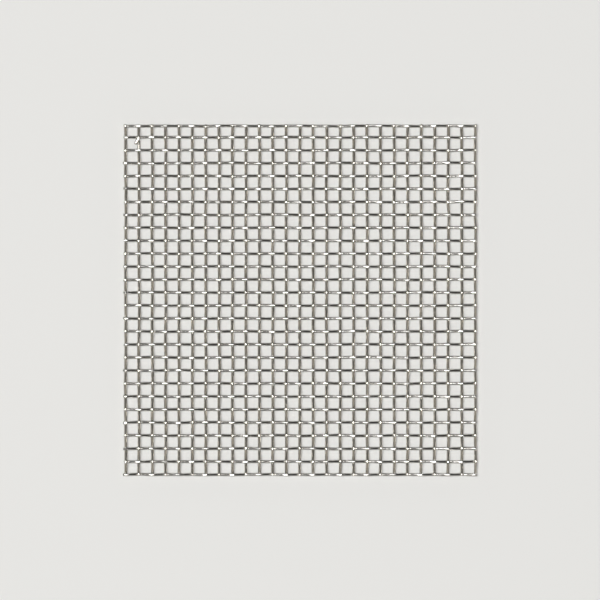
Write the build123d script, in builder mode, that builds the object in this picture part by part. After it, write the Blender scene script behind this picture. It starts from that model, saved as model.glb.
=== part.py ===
from build123d import *
import os

# A square of plain-woven, double-crimped wire gauze, lying flat.
# Warp wires run along Y and weft wires along X. Numbers count from the left (-X) and from the top (+Y).
# The origin is under the middle of the square, in the plane that the lowest crowns rest on.
# The weave has over 1,500 crimps, so a wire's section has few faces: a square on edge, inside the round
# wire, with a ridge along the top, the bottom and each side. The wires touch ridge to ridge.

warp_diameter = 0.9
weft_diameter = 0.9
warp_count = 27
weft_count = 28
warp_pitch = 3.785
weft_pitch = 3.65
top_weft_slip = 0.44  # the first weft wire has slid this far towards the second
weft_tail = 0.7  # from the outermost warp wire's centre to the tip of a weft wire's snipped end
warp_tail = 0.57  # from the outermost weft wire's centre to the tip of a warp wire's snipped end
crossing_clearance = 0.01  # between two wires where they cross

# One warp wire has broken below the second weft wire, and its upper end stands out to the left.
broken_warp = 2
last_held_weft = 2
broken_end_reach = 2.05  # down from the last weft wire that holds it
broken_end_swing = 0.95  # to the left
broken_gap = 0.4  # from the side of the same weft wire to where the rest of the wire starts again

# A centre line swings this far to either side of the middle: both sets of crowns then reach the same planes.
warp_radius = warp_diameter / 2
weft_radius = weft_diameter / 2
warp_crimp = weft_radius + crossing_clearance / 2
weft_crimp = warp_radius + crossing_clearance / 2
middle_height = warp_crimp + warp_radius

warp_span = (warp_count - 1) * warp_pitch
weft_span = (weft_count - 1) * weft_pitch - top_weft_slip
warp_places = [i * warp_pitch - warp_span / 2 for i in range(warp_count)]
weft_drops = [0] + [j * weft_pitch - top_weft_slip for j in range(1, weft_count)]
weft_places = [weft_span / 2 - drop for drop in weft_drops]


def warp_side(warp, weft):
    """1 where the warp wire passes over the weft wire, and -1 where it passes under."""
    return 1 if (warp + weft) % 2 == 0 else -1


def crimped_ridges(places, sides, crimp, radius, tail):
    """Upper and lower ridge of one wire, as it turns over or under each wire that it crosses."""
    crowns = [Vector(*place, middle_height + side * crimp) for place, side in zip(places, sides)]
    upper = [crown + Vector(0, 0, radius) for crown in crowns]
    lower = [crown - Vector(0, 0, radius) for crown in crowns]
    for end, inner in ((0, 1), (-1, -2)):
        # An end is snipped on a slant: the ridge next to the crossing wire runs on to the tip.
        longer = lower if sides[end] > 0 else upper
        pitch = (Vector(*places[end]) - Vector(*places[inner])).length
        longer[end] += (longer[end] - longer[inner]) * (tail / pitch)
    return upper, lower


def make_wire(node, upper, lower, radius, across):
    """One wire: a loft through its sections, each drawn between the two ridges."""
    with BuildPart() as wire:
        for top, bottom in zip(upper, lower):
            rise = top - bottom
            with BuildSketch(Plane(origin=(top + bottom) / 2, x_dir=rise, z_dir=rise.cross(across))):
                half_rise = rise.length / 2
                Polygon((half_rise, 0), (0, radius), (-half_rise, 0), (0, -radius))
        loft(ruled=True)
    wire.part.label = node
    export_step(wire.part, f"parts/{node}.step")


def make_broken_wire(node, upper, lower, radius, across):
    """The two pieces of the broken wire: a short upper one, bent out to the left, and the rest of it."""
    held = last_held_weft
    swing = Vector(-broken_end_swing, -broken_end_reach, 0)
    upper_piece = [ridge[:held] + [ridge[held - 1] + swing] for ridge in (upper, lower)]
    make_wire(f"{node}_broken_end", *upper_piece, radius, across)
    # The rest starts level with the crown beneath the next weft wire, clear of the end that has sprung out.
    back = Vector(0, (upper[held - 1] - upper[held]).Y - weft_radius - broken_gap, 0)
    lower_piece = [[ridge[held] + back] + ridge[held:] for ridge in (upper, lower)]
    make_wire(node, *lower_piece, radius, across)


os.makedirs("parts", exist_ok=True)

for warp, x in enumerate(warp_places, start=1):
    sides = [warp_side(warp, weft) for weft in range(1, weft_count + 1)]
    ridges = crimped_ridges([(x, y) for y in weft_places], sides, warp_crimp, warp_radius, warp_tail)
    make = make_broken_wire if warp == broken_warp else make_wire
    make(f"warp_wire_{warp:02d}", *ridges, warp_radius, Vector(1, 0, 0))

for weft, y in enumerate(weft_places, start=1):
    sides = [-warp_side(warp, weft) for warp in range(1, warp_count + 1)]
    ridges = crimped_ridges([(x, y) for x in warp_places], sides, weft_crimp, weft_radius, weft_tail)
    make_wire(f"weft_wire_{weft:02d}", *ridges, weft_radius, Vector(0, 1, 0))
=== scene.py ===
import math
import random

import bmesh
import bpy
from mathutils import Matrix, Vector


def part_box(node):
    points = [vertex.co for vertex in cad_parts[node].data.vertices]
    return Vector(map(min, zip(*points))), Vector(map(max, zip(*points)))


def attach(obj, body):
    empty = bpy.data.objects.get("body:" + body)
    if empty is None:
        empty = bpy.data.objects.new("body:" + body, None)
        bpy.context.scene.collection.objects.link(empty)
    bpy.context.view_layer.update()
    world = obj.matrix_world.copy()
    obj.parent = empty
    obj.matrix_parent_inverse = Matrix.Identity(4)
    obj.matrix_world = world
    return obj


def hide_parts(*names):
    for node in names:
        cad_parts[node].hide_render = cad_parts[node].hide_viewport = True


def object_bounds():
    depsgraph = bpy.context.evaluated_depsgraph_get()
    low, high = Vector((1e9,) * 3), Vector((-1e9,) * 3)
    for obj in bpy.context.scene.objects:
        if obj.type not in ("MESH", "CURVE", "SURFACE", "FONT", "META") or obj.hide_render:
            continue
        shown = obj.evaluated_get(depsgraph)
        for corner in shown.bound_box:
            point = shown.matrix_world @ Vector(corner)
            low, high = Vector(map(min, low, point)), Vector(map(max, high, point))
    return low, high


# A square of wire gauze: round, crimped steel wires in the places of the frame's plain ones, in metres.
# Warp wires run up the picture and are counted from the left. Weft wires run across it and are counted
# from the top.

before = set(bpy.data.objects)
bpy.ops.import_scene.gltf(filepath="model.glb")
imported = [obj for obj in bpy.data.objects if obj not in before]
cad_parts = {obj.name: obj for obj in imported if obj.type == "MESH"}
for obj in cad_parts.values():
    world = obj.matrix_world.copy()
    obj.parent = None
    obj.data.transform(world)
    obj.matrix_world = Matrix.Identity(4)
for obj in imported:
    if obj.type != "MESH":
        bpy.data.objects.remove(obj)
cadLow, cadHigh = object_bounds()
print("frame loaded:", len(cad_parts), "wires")

weave = {
    "seed": 28,
    "warpBend": 0.0018,  # radius of a warp wire's centre line, where it turns over a weft wire
    "weftBend": 0.0034,  # and of a weft wire's, where it turns over a warp wire
    "slowStray": 0.00007,  # how far a wire wanders off its line, in two waves
    "strayLength": 0.031,
    "strayShares": (0.4, 1.0),  # smallest and largest wave, as shares of slowStray
    "strayRates": (0.7, 2.1),  # fewest and most waves in strayLength
    "pitchDrift": (0.00015, -0.0001),  # the pitch widens a little from left to right, and from top down
    "crossingScatter": 0.00004,  # how far each crossing is off by itself
    "topWeftScatter": 0.00007,  # the first weft wire lies less evenly than the rest
}

# Crossings that stand out, listed one by one: (warp, weft) and how far it has slipped to the right and up.
slippedCrossings = {
    (25, 7): (-0.00002, -0.0002),
    (25, 8): (0.00026, 0.0),
    (25, 9): (0.0, 0.00006),
    (27, 9): (0.00014, 0.00005),
    (26, 7): (0.0, 0.0001),
}


def nodeMiddle(name):
    low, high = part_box(name)
    return (low + high) / 2


def wholeWires(start):
    return sorted(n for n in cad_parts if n.startswith(start) and not n.endswith("broken_end"))


warpNames = wholeWires("warp_wire_")
weftNames = wholeWires("weft_wire_")
warpLines = [nodeMiddle(name).x for name in warpNames]
weftLines = [nodeMiddle(name).y for name in weftNames]
warpLow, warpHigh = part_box(warpNames[0])
weftLow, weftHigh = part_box(weftNames[0])
warpRadius = (warpHigh.x - warpLow.x) / 2
weftRadius = (weftHigh.y - weftLow.y) / 2
middleHeight = (cadLow.z + cadHigh.z) / 2
warpCrimp = (warpHigh.z - warpLow.z) / 2 - warpRadius  # how far a centre line swings up and down
weftCrimp = (weftHigh.z - weftLow.z) / 2 - weftRadius


def warpSide(warp, weft):
    return 1 if (warp + weft) % 2 == 0 else -1  # 1 where the warp wire is on top


def slowStray(draw):
    # a wire's own slow wander, as two waves
    shares, rates = weave["strayShares"], weave["strayRates"]
    waves = [(draw.uniform(*shares), draw.uniform(*rates), draw.uniform(0, math.tau)) for _ in range(2)]

    def stray(place):
        turns = math.tau * place / weave["strayLength"]
        offs = [share * math.sin(turns * rate + start) for share, rate, start in waves]
        return weave["slowStray"] * sum(offs)

    return stray


def drift(place, lines, amount):
    # How far a line has moved where the pitch changes evenly from one edge to the other: both edges go one
    # way, and the middle half as far the other way.
    share = place / max(lines)
    return amount * (1.5 * share * share - 0.5)


def placeCrossings():
    draw = random.Random(weave["seed"])
    across, up = weave["pitchDrift"]
    warpStray = [slowStray(draw) for _ in warpLines]
    weftStray = [slowStray(draw) for _ in weftLines]
    placed = {}
    for warp, x in enumerate(warpLines, start=1):
        for weft, y in enumerate(weftLines, start=1):
            scatter = weave["crossingScatter"]
            scatterUp = weave["topWeftScatter"] if weft == 1 else scatter
            slipX, slipY = slippedCrossings.get((warp, weft), (0.0, 0.0))
            slipX += drift(x, warpLines, across)
            slipY += drift(y, weftLines, up)
            strayedX = x + warpStray[warp - 1](y) + draw.uniform(-scatter, scatter) + slipX
            strayedY = y + weftStray[weft - 1](x) + draw.uniform(-scatterUp, scatterUp) + slipY
            # no wire strays out of the frame's own box
            placed[warp, weft] = Vector((
                min(max(strayedX, cadLow.x + warpRadius), cadHigh.x - warpRadius),
                min(max(strayedY, cadLow.y + weftRadius), cadHigh.y - weftRadius),
            ))
    return placed


crossings = placeCrossings()
print("crossings placed:", len(crossings))


class Signal:
    # One output socket, so that sums on values can be written plainly and add their own Math nodes.
    def __init__(self, socket):
        self.socket = socket
        self.tree = socket.id_data

    def maths(self, operation, first, second):
        return addNode(self.tree, "ShaderNodeMath", {"operation": operation}, {0: first, 1: second}).out(0)

    def __add__(self, other):
        return self.maths("ADD", self, other)

    def __sub__(self, other):
        return self.maths("SUBTRACT", self, other)

    def __rsub__(self, other):
        return self.maths("SUBTRACT", other, self)

    def __mul__(self, other):
        return self.maths("MULTIPLY", self, other)

    __radd__ = __add__
    __rmul__ = __mul__


class ShaderNode:
    def __init__(self, node):
        self.node = node

    def out(self, key):
        return Signal(pickSocket(self.node.outputs, key))


def pickSocket(sockets, key):
    if isinstance(key, int):
        return sockets[key]
    return next(s for s in sockets if key in (s.identifier, s.name))


def addNode(tree, kind, settings, values):
    # Any node: its settings first, and then the values or links of its sockets.
    node = tree.nodes.new(kind)
    for key, value in settings.items():
        setattr(node, key, value)
    for key, value in values.items():
        socket = pickSocket(node.inputs, key)
        if isinstance(value, Signal):
            tree.links.new(value.socket, socket)
        else:
            socket.default_value = value
    return ShaderNode(node)


def newTree(owner):
    owner.use_nodes = True
    owner.node_tree.nodes.clear()
    return owner.node_tree


drawnSteel = {
    "warpColour": (0.69, 0.665, 0.615, 1),
    "weftColour": (0.7, 0.695, 0.675, 1),
    "tarnishColour": (0.36, 0.33, 0.28, 1),
    "tarnish": 0.55,  # how far the dullest places have gone towards that colour
    "tarnishBand": (0.38, 0.68),  # levels of the mottling where tarnish starts, and where it is full
    # marks a metre, two ways across the wire and along it, and how much finer detail each has
    "patches": ((900, 900, 130), 3.0),
    "flecks": ((5200, 5200, 2600), 2.0),
    "dieLines": ((14000, 14000, 420), 3.0),
    "fleckShare": 0.3,  # of the mottling. The patches have the rest.
    "crownStart": 0.74,  # share of the way out to the top of a crown where it starts to be rubbed
    "crownRubbed": 0.85,  # share of the tarnish that is rubbed off there
    "roughness": 0.12,
    "tarnishRoughness": 0.06,
    "crownPolish": 0.03,
    "lineRoughness": 0.04,
    "lineStrength": 0.9,
    "lineDepth": 0.00002,
}


def makeDrawnSteel(name, colour):
    material = bpy.data.materials.new(name)
    tree = newTree(material)

    def add(kind, settings, values):
        return addNode(tree, kind, settings, values)

    # each point's place on the wire while it was still straight, so that marks follow the crimps
    place = add("ShaderNodeAttribute", {"attribute_name": "drawn"}, {}).out("Vector")

    def marks(which):
        scale, detail = drawnSteel[which]
        drawn = add("ShaderNodeVectorMath", {"operation": "MULTIPLY"}, {0: place, 1: scale}).out("Vector")
        return add("ShaderNodeTexNoise", {}, {"Vector": drawn, "Scale": 1.0, "Detail": detail}).out("Fac")

    def between(value, start, end):
        levels = {"Value": value, "From Min": start, "From Max": end}
        return add("ShaderNodeMapRange", {}, levels).out("Result")

    position = add("ShaderNodeTexCoord", {}, {}).out("Object")
    height = add("ShaderNodeSeparateXYZ", {}, {0: position}).out("Z")
    # tarnish in slow patches along the wire, and a greyer film in fine flecks
    flecked = drawnSteel["fleckShare"]
    dull = between(marks("patches") * (1 - flecked) + marks("flecks") * flecked, *drawnSteel["tarnishBand"])
    # crowns, above and below, are rubbed brighter than the rest
    away = add("ShaderNodeMath", {"operation": "ABSOLUTE"}, {0: height - middleHeight}).out(0)
    crown = between(away, middleHeight * drawnSteel["crownStart"], middleHeight)
    tarnish = dull * (1 - crown * drawnSteel["crownRubbed"]) * drawnSteel["tarnish"]
    tint = add(
        "ShaderNodeMix", {"data_type": "RGBA"},
        {"Factor_Float": tarnish, "A_Color": colour, "B_Color": drawnSteel["tarnishColour"]},
    ).out("Result_Color")
    # fine lines that the die has left along the wire
    lines = marks("dieLines")
    scored = add(
        "ShaderNodeBump", {},
        {"Strength": drawnSteel["lineStrength"], "Distance": drawnSteel["lineDepth"], "Height": lines},
    ).out("Normal")
    roughness = drawnSteel["roughness"] + dull * drawnSteel["tarnishRoughness"]
    roughness = roughness - crown * drawnSteel["crownPolish"] + lines * drawnSteel["lineRoughness"]
    surface = add(
        "ShaderNodeBsdfPrincipled", {},
        {"Base Color": tint, "Metallic": 1.0, "Roughness": roughness, "Normal": scored},
    ).out("BSDF")
    add("ShaderNodeOutputMaterial", {}, {"Surface": surface})
    return material


# The two kinds of wire: material slot, finish, radius, swing of the centre line, and radius of its bends.
warpKind = {
    "slot": "warp_wire",
    "steel": makeDrawnSteel("drawnSteelWarp", drawnSteel["warpColour"]),
    "radius": warpRadius,
    "crimp": warpCrimp,
    "bend": weave["warpBend"],
}
weftKind = {
    "slot": "weft_wire",
    "steel": makeDrawnSteel("drawnSteelWeft", drawnSteel["weftColour"]),
    "radius": weftRadius,
    "crimp": weftCrimp,
    "bend": weave["weftBend"],
}
print("steel finishes made")

wireDrawing = {
    "sides": 12,
    "bendSteps": 4,
    "cornerPasses": 40,  # rounds in which the corners of a route settle at their heights
    "coilStep": 0.17,  # each wire comes from this much further along the coil, so its marks are its own
    "sameSpot": 1e-7,  # points closer than this are one
}


def halfWayOn(places):
    # where the wire would be half way to the next crossing, if the weave went on past its edge
    place = places[-1] * 1.5 - places[-2] * 0.5
    return Vector((place.x, place.y, middleHeight))


def crimpedRoute(start, places, sides, kind, end):
    # Corners of a wire's centre line, from one end to the other, and the radius of the bend at each.
    # A bend cuts inside its corner, so the corner stands a little higher than the crown.
    crimp, bend = kind["crimp"], kind["bend"]
    corners = [Vector((p.x, p.y, middleHeight + side * crimp)) for p, side in zip(places, sides)]
    for _ in range(wireDrawing["cornerPasses"]):
        line = [start[-1][0], *corners, end[0][0]]
        turns = [(b - a).angle(c - b) for a, b, c in zip(line, line[1:], line[2:])]
        for corner, side, turn in zip(corners, sides, turns):
            corner.z = middleHeight + side * (crimp + bend * (1 / math.cos(turn / 2) - 1))
    return [*start, *((corner, bend) for corner in corners), *end]


def pushEnd(bm, face):
    # the wire's open face moves on and leaves a new ring of side faces behind it
    made = bmesh.ops.extrude_face_region(bm, geom=[face, *face.edges])["geom"]
    newFace = next(g for g in made if isinstance(g, bmesh.types.BMFace))
    return newFace, list(newFace.verts)


def drawWire(bm, route, radius, coilStart):
    # Draws one wire along its route, and keeps each point's place on the straight wire as an attribute.
    drawn = bm.verts.layers.float_vector.new("drawn")
    ring = bmesh.ops.create_circle(bm, cap_ends=True, segments=wireDrawing["sides"], radius=radius)["verts"]
    for vert in ring:
        vert[drawn] = (vert.co.x, vert.co.y, coilStart)
    here, coil = route[0][0], coilStart
    heading = (route[1][0] - here).normalized()
    across = heading.cross(Vector((0, 0, 1))).normalized()
    turned = Matrix((across, across.cross(heading), heading)).transposed().to_4x4()
    bmesh.ops.transform(bm, matrix=Matrix.Translation(here) @ turned, verts=ring)
    bm.faces.ensure_lookup_table()
    face = bm.faces[0]
    steps = wireDrawing["bendSteps"]

    for (corner, bend), (following, _) in zip(route[1:-1], route[2:]):
        leaving = (following - corner).normalized()
        turn = heading.angle(leaving)
        run = (corner - here).length - bend * math.tan(turn / 2)
        coil += run
        face, ring = pushEnd(bm, face)
        bmesh.ops.translate(bm, vec=heading * run, verts=ring)
        for vert in ring:
            vert[drawn].z = coil
        here = here + heading * run
        axis = heading.cross(leaving).normalized()
        hub = here + axis.cross(heading) * bend
        step = Matrix.Rotation(turn / steps, 3, axis)
        for _ in range(steps):
            coil += bend * turn / steps
            face, ring = pushEnd(bm, face)
            bmesh.ops.rotate(bm, cent=hub, matrix=step, verts=ring)
            for vert in ring:
                vert[drawn].z = coil
        here = hub + Matrix.Rotation(turn, 3, axis) @ (here - hub)
        heading = leaving
    run = (route[-1][0] - here).length
    face, ring = pushEnd(bm, face)
    bmesh.ops.translate(bm, vec=heading * run, verts=ring)
    for vert in ring:
        vert[drawn].z = coil + run
    return face, heading


def finishWire(bm, node, kind):
    bmesh.ops.remove_doubles(bm, verts=bm.verts, dist=wireDrawing["sameSpot"])
    bmesh.ops.recalc_face_normals(bm, faces=bm.faces)
    for face in bm.faces:
        # an end face has more than four sides, and keeps a sharp edge
        face.smooth = len(face.verts) <= 4
        if not face.smooth:
            for edge in face.edges:
                edge.smooth = False
    mesh = bpy.data.meshes.new(f"{node}_round")
    bm.to_mesh(mesh)
    bm.free()
    mesh.materials.append(kind["steel"])
    wire = bpy.data.objects.new(f"{node}_round", mesh)
    bpy.context.scene.collection.objects.link(wire)
    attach(wire, "root")
    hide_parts(node)


tails = {
    "shortest": 0.78,  # of the length that the frame gives them
    "mostLean": 0.3,  # sine of the most that a tail has turned back at its tip
    "slant": 14.0,  # most degrees that a snipped face is off square, two ways
    "spare": 1.3,  # room left for the slanted end, against the least that it needs
    "pinch": 0.86,  # how much of its thickness the snip leaves
    "rim": 0.00006,  # width of the worn rim
    "crown": 0.00003,  # how far the middle of the end stands proud of its rim
}


def tailTip(node, place, rise, outward, draw):
    # The tip of a tail: as far out as the frame's wire reaches, or a little less.
    crown = place.to_3d() + Vector((0, 0, middleHeight + rise))
    low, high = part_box(node)
    reach = max((low - crown).dot(outward), (high - crown).dot(outward))
    return crown + outward * reach * draw.uniform(tails["shortest"], 1.0)


def tailHeading(tip, place, side, outward, bend):
    # Beyond its last crown a wire has begun to turn back.
    lean = math.asin(min(tails["mostLean"], (tip - place.to_3d()).dot(outward) / bend))
    return outward * math.cos(lean) - Vector((0, 0, side * math.sin(lean)))


def snipTail(bm, node, kind, place, side, outward, draw):
    # Cuts the wire off beyond its last crown, a little out of square and short enough that nothing of it
    # passes the tip, and leaves a pinched end with a worn rim.
    tip = tailTip(node, place, side * kind["crimp"], outward, draw)
    heading = tailHeading(tip, place, side, outward, kind["bend"])
    slant = tails["slant"]
    tilt = Matrix.Rotation(math.radians(draw.uniform(-slant, slant)), 3, "Z")
    tilt = tilt @ Matrix.Rotation(math.radians(draw.uniform(-slant, slant)), 3, outward.orthogonal())
    facing = tilt @ heading
    square = facing.dot(outward)
    overhang = kind["radius"] * math.sqrt(max(0.0, 1 - square * square)) / square
    cut = bmesh.ops.bisect_plane(
        bm, geom=bm.verts[:] + bm.edges[:] + bm.faces[:], dist=wireDrawing["sameSpot"], clear_outer=True,
        plane_co=tip - outward * (overhang * tails["spare"] + tails["crown"]), plane_no=facing,
    )["geom_cut"]
    rim = [g for g in cut if isinstance(g, bmesh.types.BMEdge)]
    points = [g for g in cut if isinstance(g, bmesh.types.BMVert)]
    middle = sum((v.co for v in points), Vector()) / len(points)
    bmesh.ops.scale(bm, vec=(1, 1, tails["pinch"]), space=Matrix.Translation(-middle), verts=points)
    face = bmesh.ops.contextual_create(bm, geom=rim)["faces"][0]
    face.normal_update()
    if face.normal.dot(facing) < 0:
        face.normal_flip()
    bmesh.ops.inset_individual(
        bm, faces=[face], thickness=tails["rim"], depth=tails["crown"], use_even_offset=True
    )


def makeWire(node, number, kind, places, sides, outward, draw):
    # One whole wire, drawn half a pitch too long at both ends and snipped to its tails.
    start = [(halfWayOn(places[::-1]), 0)]
    end = [(halfWayOn(places), 0)]
    bm = bmesh.new()
    route = crimpedRoute(start, places, sides, kind, end)
    drawWire(bm, route, kind["radius"], number * wireDrawing["coilStep"])
    snipTail(bm, node, kind, places[0], sides[0], -outward, draw)
    snipTail(bm, node, kind, places[-1], sides[-1], outward, draw)
    finishWire(bm, node, kind)


brokenWarp = {
    "levelAfter": 0.00034,  # both torn ends have come level this far before their last crossing
    "levelBend": 0.0017,
    "swingAfter": 0.00028,  # the short end turns aside this far beyond the last weft wire that holds it
    "swingBend": 0.001,
    "neck": 0.78,  # the break has drawn the wire this thin
    "neckLength": 0.0005,
    "neckSteps": (0.55, 0.45),  # shares of that length: it thins by the same amount over each
    "tornRim": 0.00012,  # width of the uneven rim of a torn end
    "ragged": 0.00007,  # deepest notch in it
    "seamTurn": 0.1,  # the count round the rim starts this far before a point, and not on one
    "shortCoilStep": 0.11,  # from the start of the long piece to the start of the short one, along the coil
}


def tearEnd(bm, face, heading, draw):
    # The wire has necked and torn: its last stretch gets thinner, and the end face is uneven.
    steps = brokenWarp["neckSteps"]
    narrow = 1 - (1 - brokenWarp["neck"]) / len(steps)
    bmesh.ops.translate(bm, vec=-heading * brokenWarp["neckLength"], verts=face.verts)
    for share in steps:
        face, ring = pushEnd(bm, face)
        bmesh.ops.translate(bm, vec=heading * brokenWarp["neckLength"] * share, verts=ring)
        middle = Matrix.Translation(-face.calc_center_median())
        bmesh.ops.scale(bm, vec=(narrow,) * 3, space=middle, verts=ring)
    inner = bmesh.ops.inset_individual(bm, faces=[face], thickness=brokenWarp["tornRim"])["faces"]
    torn = {vert for piece in [face, *inner] for vert in piece.verts}
    middle = face.calc_center_median()
    side = heading.cross(Vector((0, 0, 1))).normalized()

    def placeOnEnd(vert):
        # ring by ring, and round each, so that every run gives the same point the same notch
        off = vert.co - middle
        turn = math.atan2(off.dot(side.cross(heading)), off.dot(side))
        return round(off.length, 5), (turn + brokenWarp["seamTurn"]) % math.tau

    for vert in sorted(torn, key=placeOnEnd):
        vert.co -= heading * draw.uniform(0, brokenWarp["ragged"])
    bmesh.ops.poke(bm, faces=[face])


def upTheWarp(warp, first, last):
    # crossings of one warp wire and its side at each, from a lower weft wire up to a higher one
    wefts = range(first, last - 1, -1)
    return [crossings[warp, weft] for weft in wefts], [warpSide(warp, weft) for weft in wefts]


def makeBrokenWarp(node, warp, draw):
    # The torn wire: its long rest comes up from below, and its short upper end stands out to the left.
    kind = warpKind
    short = f"{node}_broken_end"
    low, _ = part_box(short)
    held = sum(1 for y in weftLines if y > low.y)  # this many weft wires hold the short end
    up = Vector((0, 1, 0))
    coilStart = warp * wireDrawing["coilStep"]

    bm = bmesh.new()
    places, sides = upTheWarp(warp, len(weftLines), held + 2)
    under = crossings[warp, held + 1].to_3d()
    under.z = middleHeight + warpSide(warp, held + 1) * kind["crimp"]
    tip = Vector((under.x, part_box(node)[1].y, under.z))
    end = [(under - up * brokenWarp["levelAfter"], brokenWarp["levelBend"]), (tip, 0)]
    route = crimpedRoute([(halfWayOn(places[::-1]), 0)], places, sides, kind, end)
    face, heading = drawWire(bm, route, kind["radius"], coilStart)
    snipTail(bm, node, kind, places[0], sides[0], -up, draw)
    tearEnd(bm, face, heading, draw)
    finishWire(bm, node, kind)

    bm = bmesh.new()
    places, sides = upTheWarp(warp, held - 1, 1)
    crown = crossings[warp, held].to_3d()
    crown.z = middleHeight + warpSide(warp, held) * kind["crimp"]
    tip = Vector((low.x + kind["radius"], low.y, crown.z))
    start = [
        (tip, 0),
        (crown - up * brokenWarp["swingAfter"], brokenWarp["swingBend"]),
        (crown + up * brokenWarp["levelAfter"], brokenWarp["levelBend"]),
    ]
    beyond = halfWayOn([crossings[warp, held], *places])
    route = crimpedRoute(start, places, sides, kind, [(beyond, 0)])
    face, heading = drawWire(bm, route[::-1], kind["radius"], coilStart + brokenWarp["shortCoilStep"])
    snipTail(bm, short, kind, places[-1], sides[-1], up, draw)
    tearEnd(bm, face, heading, draw)
    finishWire(bm, short, kind)


def makeWarps():
    draw = random.Random(weave["seed"] + 1)
    for warp, node in enumerate(warpNames, start=1):
        if f"{node}_broken_end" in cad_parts:
            makeBrokenWarp(node, warp, draw)
        else:
            places, sides = upTheWarp(warp, len(weftLines), 1)
            makeWire(node, warp, warpKind, places, sides, Vector((0, 1, 0)), draw)


def makeWefts():
    draw = random.Random(weave["seed"] + 2)
    for weft, node in enumerate(weftNames, start=1):
        warps = range(1, len(warpLines) + 1)
        places = [crossings[warp, weft] for warp in warps]
        sides = [-warpSide(warp, weft) for warp in warps]
        makeWire(node, weft, weftKind, places, sides, Vector((1, 0, 0)), draw)


makeWarps()
print("warp wires made")
makeWefts()
print("weft wires made")

studio = {
    "floorColour": (0.8, 0.8, 0.79, 1),
    "floorSize": 24.0,
    "floorFades": (0.12, 0.5),  # how far out the floor starts to pass into the pale room, and where it has
    "roomOverhead": 0.075,  # how bright the room is there, against the floor's own colour
    "roomHorizon": 1.0,
    "horizonBand": (0.15, 0.4),  # height on a unit sphere where the pale horizon starts to fade, and ends
    # name: (place, width level with the floor, length square to that, watts, colour)
    "lamps": {
        "overheadStrip": ((-0.42, 0.0, 3.0), 0.75, 1.85, 77.0, (1.0, 0.995, 0.985)),
        "leftKey": ((-1.7, 0.1, 2.5), 1.6, 0.9, 1.6, (1.0, 0.99, 0.97)),
        "warmFill": ((0.0, -1.7, 2.5), 3.0, 1.1, 5.6, (1.0, 0.93, 0.82)),
        "farFill": ((-0.8, 1.7, 2.5), 2.0, 1.1, 3.2, (1.0, 0.96, 0.9)),
    },
    "lensLength": 280.0,
    "sensorWidth": 36.0,
    "viewWidth": 0.1688,  # what the camera's picture spans at the gauze
    "clip": (0.01, 50.0),
}


def makeFloor():
    bm = bmesh.new()
    bmesh.ops.create_grid(bm, x_segments=1, y_segments=1, size=studio["floorSize"] / 2)
    mesh = bpy.data.meshes.new("paleFloor")
    bm.to_mesh(mesh)
    bm.free()
    floor = bpy.data.objects.new("paleFloor", mesh)
    bpy.context.scene.collection.objects.link(floor)
    material = bpy.data.materials.new("paleFloor")
    tree = newTree(material)
    matte = addNode(
        tree, "ShaderNodeBsdfPrincipled", {},
        {"Base Color": studio["floorColour"], "Roughness": 1.0, "Specular IOR Level": 0.0},
    ).out("BSDF")
    # far from the gauze, what looks at the floor sees the pale room's own colour, without an edge
    pale = addNode(
        tree, "ShaderNodeEmission", {},
        {"Color": studio["floorColour"], "Strength": studio["roomHorizon"]},
    ).out("Emission")
    place = addNode(tree, "ShaderNodeTexCoord", {}, {}).out("Object")
    away = addNode(tree, "ShaderNodeVectorMath", {"operation": "LENGTH"}, {0: place}).out("Value")
    near, far = studio["floorFades"]
    outside = addNode(
        tree, "ShaderNodeMapRange", {"interpolation_type": "SMOOTHSTEP"},
        {"Value": away, "From Min": near, "From Max": far},
    ).out("Result")
    rays = addNode(tree, "ShaderNodeLightPath", {}, {})
    seen = rays.out("Is Camera Ray") + rays.out("Is Glossy Ray") + rays.out("Is Transmission Ray")
    surface = addNode(
        tree, "ShaderNodeMixShader", {}, {0: seen * outside, 1: matte, 2: pale}
    ).out("Shader")
    addNode(tree, "ShaderNodeOutputMaterial", {}, {"Surface": surface})
    mesh.materials.append(material)


def makeLamps():
    for name, (place, across, along, watts, colour) in studio["lamps"].items():
        lamp = bpy.data.lights.new(name, "AREA")
        lamp.shape = "RECTANGLE"
        lamp.size, lamp.size_y = across, along
        lamp.energy = watts
        lamp.color = colour
        holder = bpy.data.objects.new(name, lamp)
        holder.location = place
        holder.rotation_euler = (-Vector(place)).to_track_quat("-Z", "Y").to_euler()
        holder.visible_camera = False
        bpy.context.scene.collection.objects.link(holder)


def makeRoom():
    # pale round the horizon and darker overhead, so that the wires have something to mirror
    world = bpy.data.worlds.new("paleRoom")
    bpy.context.scene.world = world
    tree = newTree(world)
    direction = addNode(tree, "ShaderNodeTexCoord", {}, {}).out("Generated")
    height = addNode(tree, "ShaderNodeSeparateXYZ", {}, {0: direction}).out("Z")
    start, end = studio["horizonBand"]
    level = addNode(
        tree, "ShaderNodeMapRange", {"interpolation_type": "SMOOTHSTEP"},
        {
            "Value": height, "From Min": start, "From Max": end,
            "To Min": studio["roomHorizon"], "To Max": studio["roomOverhead"],
        },
    ).out("Result")
    glow = addNode(
        tree, "ShaderNodeBackground", {}, {"Color": studio["floorColour"], "Strength": level}
    ).out("Background")
    addNode(tree, "ShaderNodeOutputWorld", {}, {"Surface": glow})


def makeCamera():
    camera = bpy.data.cameras.new("viewFromAbove")
    camera.lens = studio["lensLength"]
    camera.sensor_width = studio["sensorWidth"]
    camera.clip_start, camera.clip_end = studio["clip"]
    holder = bpy.data.objects.new("viewFromAbove", camera)
    away = studio["viewWidth"] * studio["lensLength"] / studio["sensorWidth"]
    holder.location = (0, 0, middleHeight + away)
    bpy.context.scene.collection.objects.link(holder)
    bpy.context.scene.camera = holder


makeFloor()
makeLamps()
makeRoom()
makeCamera()
bpy.context.scene.view_settings.view_transform = "Standard"
print("studio made")

bpy.context.view_layer.update()
